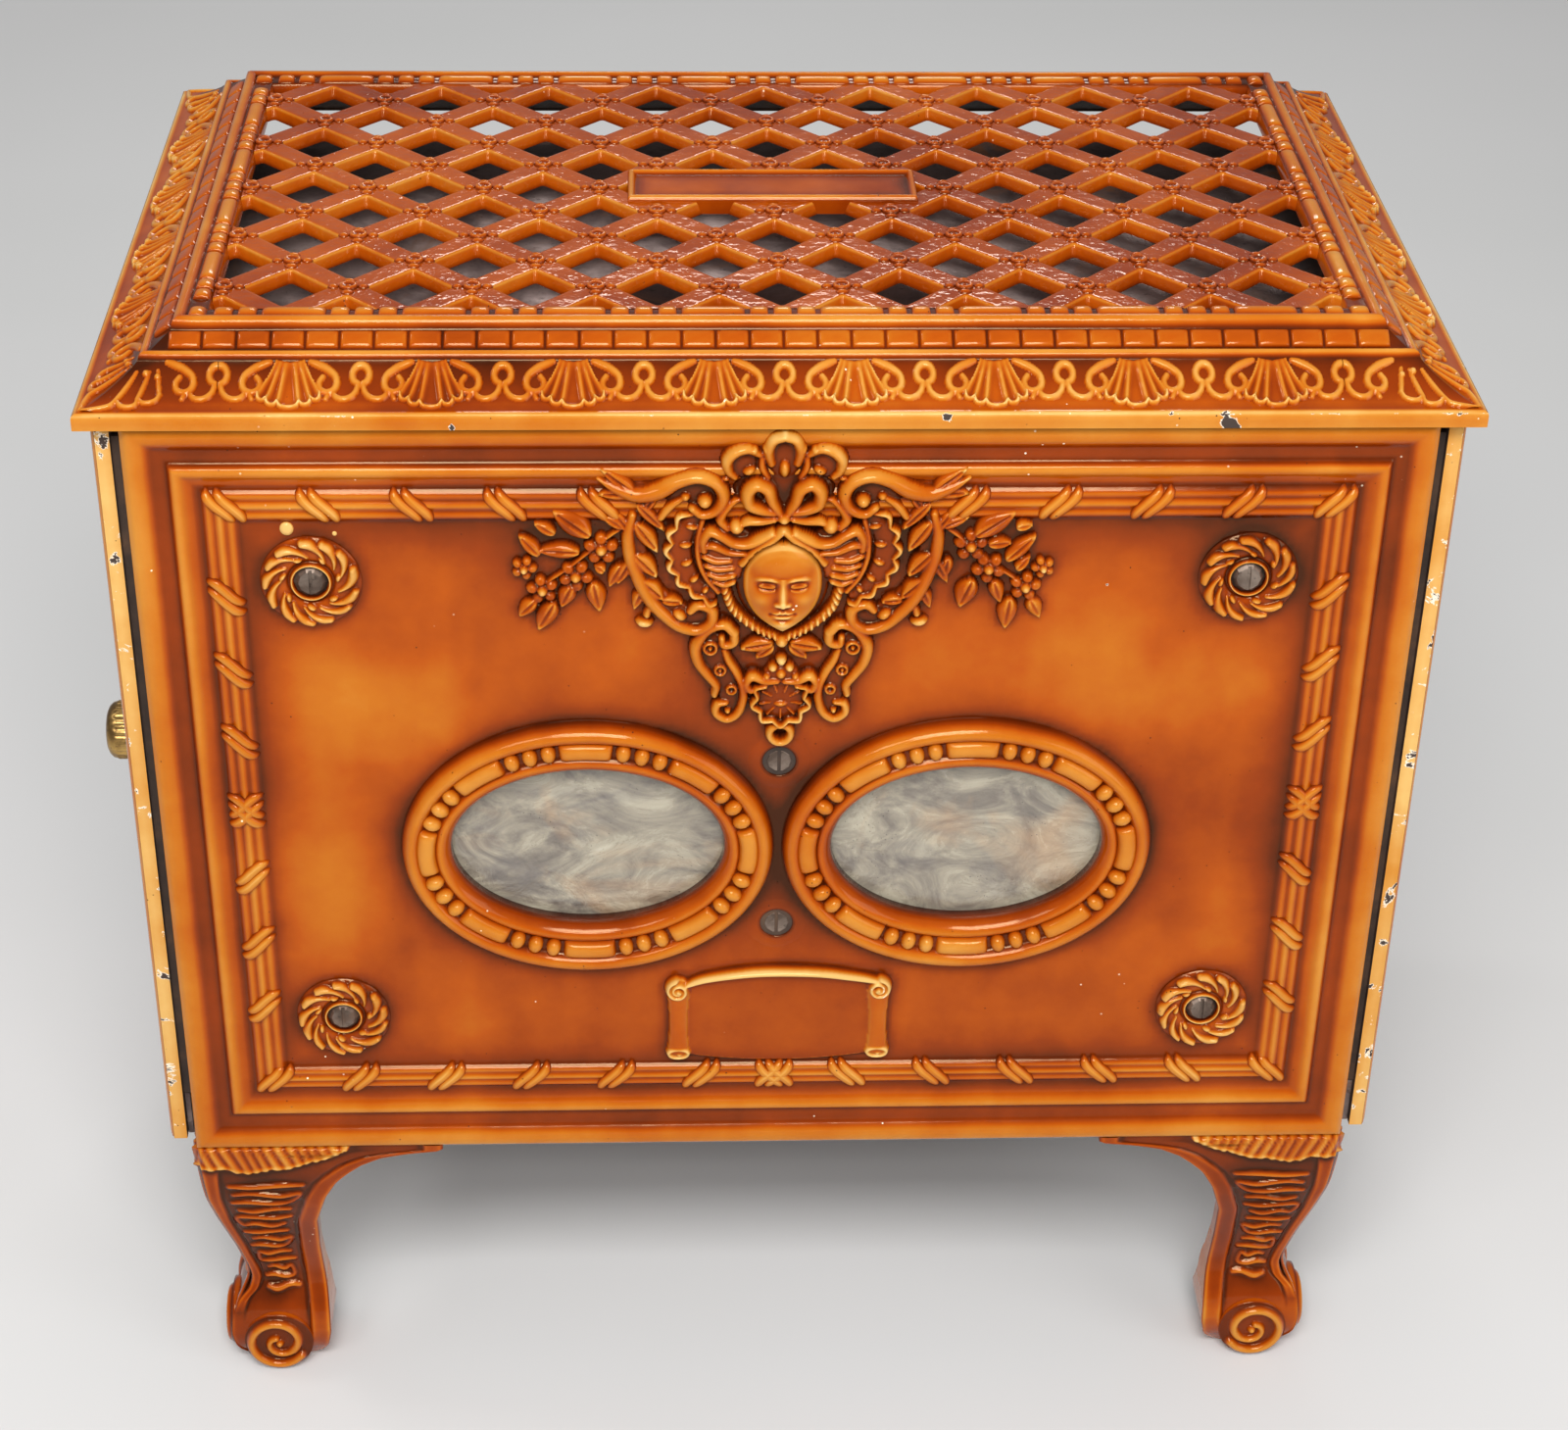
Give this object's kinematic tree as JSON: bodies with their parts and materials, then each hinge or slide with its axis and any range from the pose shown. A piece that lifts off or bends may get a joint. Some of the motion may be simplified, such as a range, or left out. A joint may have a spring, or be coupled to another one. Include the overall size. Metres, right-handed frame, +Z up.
{
  "type": "room heater",
  "caption": "Enamelled cast iron room heater on cabriole legs: bolted casing with two mica windows, pierced lift-off lid, and a twin-wick lamp unit sliding out of the open back.",
  "frame": {"origin": "on the floor, under the middle of the casing", "axes": "+X to the right seen from the front, +Y to the back, +Z up; the front faces -Y"},
  "size_m": [0.574, 0.3253, 0.4958],
  "materials": {
    "amber_enamel": "glossy amber lead glaze on cast iron, golden on the raised edges and red-brown in the hollows",
    "mica": "cloudy grey mica sheet",
    "wick_cotton": "woven flat cotton wick, charred at the top",
    "tinned_iron": "dull tinned sheet iron",
    "brass": "tarnished brass",
    "sheet_iron": "bare iron with brown oxide",
    "worn_steel": "worn steel with brown tarnish"
  },
  "bodies": {
    "casing": {"back_rail": "sheet_iron", "baffle_plate": "sheet_iron", "centre_screw_lower": "worn_steel", "centre_screw_upper": "worn_steel", "corner_strap_lower_left": "sheet_iron", "corner_strap_lower_right": "sheet_iron", "corner_strap_upper_left": "sheet_iron", "corner_strap_upper_right": "sheet_iron", "floor_tray": "sheet_iron", "front_panel": "amber_enamel", "leg_bolt_front_left": "worn_steel", "leg_bolt_front_right": "worn_steel", "leg_bolt_rear_left": "worn_steel", "leg_bolt_rear_right": "worn_steel", "leg_front_left": "amber_enamel", "leg_front_right": "amber_enamel", "leg_nut_front_left": "worn_steel", "leg_nut_front_right": "worn_steel", "leg_nut_rear_left": "worn_steel", "leg_nut_rear_right": "worn_steel", "leg_rear_left": "amber_enamel", "leg_rear_right": "amber_enamel", "mica_retainer": "sheet_iron", "mica_window_left": "mica", "mica_window_right": "mica", "rosette_bolt_lower_left": "worn_steel", "rosette_bolt_lower_right": "worn_steel", "rosette_bolt_upper_left": "worn_steel", "rosette_bolt_upper_right": "worn_steel", "runner_left": "sheet_iron", "runner_right": "sheet_iron", "side_plate_left": "amber_enamel", "side_plate_right": "amber_enamel", "side_screw_left_front_lower": "worn_steel", "side_screw_left_front_upper": "worn_steel", "side_screw_left_rear_lower": "worn_steel", "side_screw_left_rear_upper": "worn_steel", "side_screw_right_front_lower": "worn_steel", "side_screw_right_front_upper": "worn_steel", "side_screw_right_rear_lower": "worn_steel", "side_screw_right_rear_upper": "worn_steel"},
    "lid": {"lid": "amber_enamel"},
    "lamp_unit": {"tank": "tinned_iron", "filler_neck": "brass", "tank_handle": "worn_steel", "burner_left": "brass", "burner_right": "brass", "burner_cone_left": "brass", "burner_cone_right": "brass"},
    "cap": {"filler_cap": "brass"},
    "left_winder": {"spindle_left": "worn_steel", "knob_left": "brass"},
    "right_winder": {"spindle_right": "worn_steel", "knob_right": "brass"},
    "left_wick": {"wick_left": "wick_cotton"},
    "right_wick": {"wick_right": "wick_cotton"}
  },
  "joints": [
    {"name": "lid_lift", "type": "slide", "parent": "casing", "child": "lid", "axis": [0, 0, 1], "range_m": [0, 0.15]},
    {"name": "lamp_slide", "type": "slide", "parent": "casing", "child": "lamp_unit", "axis": [0, 1, 0], "range_m": [0, 0.3]},
    {"name": "cap_turn", "type": "hinge", "parent": "lamp_unit", "child": "cap", "pos_m": [0, 0.045, 0.205], "axis": [0, 0, 1], "continuous": true},
    {"name": "left_knob_turn", "type": "hinge", "parent": "lamp_unit", "child": "left_winder", "pos_m": [-0.27, -0.003, 0.241], "axis": [-1, 0, 0], "range_deg": [0, 115]},
    {"name": "right_knob_turn", "type": "hinge", "parent": "lamp_unit", "child": "right_winder", "pos_m": [0.27, -0.003, 0.241], "axis": [-1, 0, 0], "range_deg": [0, 115]},
    {"name": "left_wick_raise", "type": "slide", "parent": "lamp_unit", "child": "left_wick", "axis": [0, 0, 1], "range_m": [0, 0.0125]},
    {"name": "right_wick_raise", "type": "slide", "parent": "lamp_unit", "child": "right_wick", "axis": [0, 0, 1], "range_m": [0, 0.0125]}
  ],
  "couplings": [
    {"joint": "left_wick_raise", "follows": "left_knob_turn", "m_per_rad": 0.006},
    {"joint": "right_wick_raise", "follows": "right_knob_turn", "m_per_rad": 0.006}
  ]
}
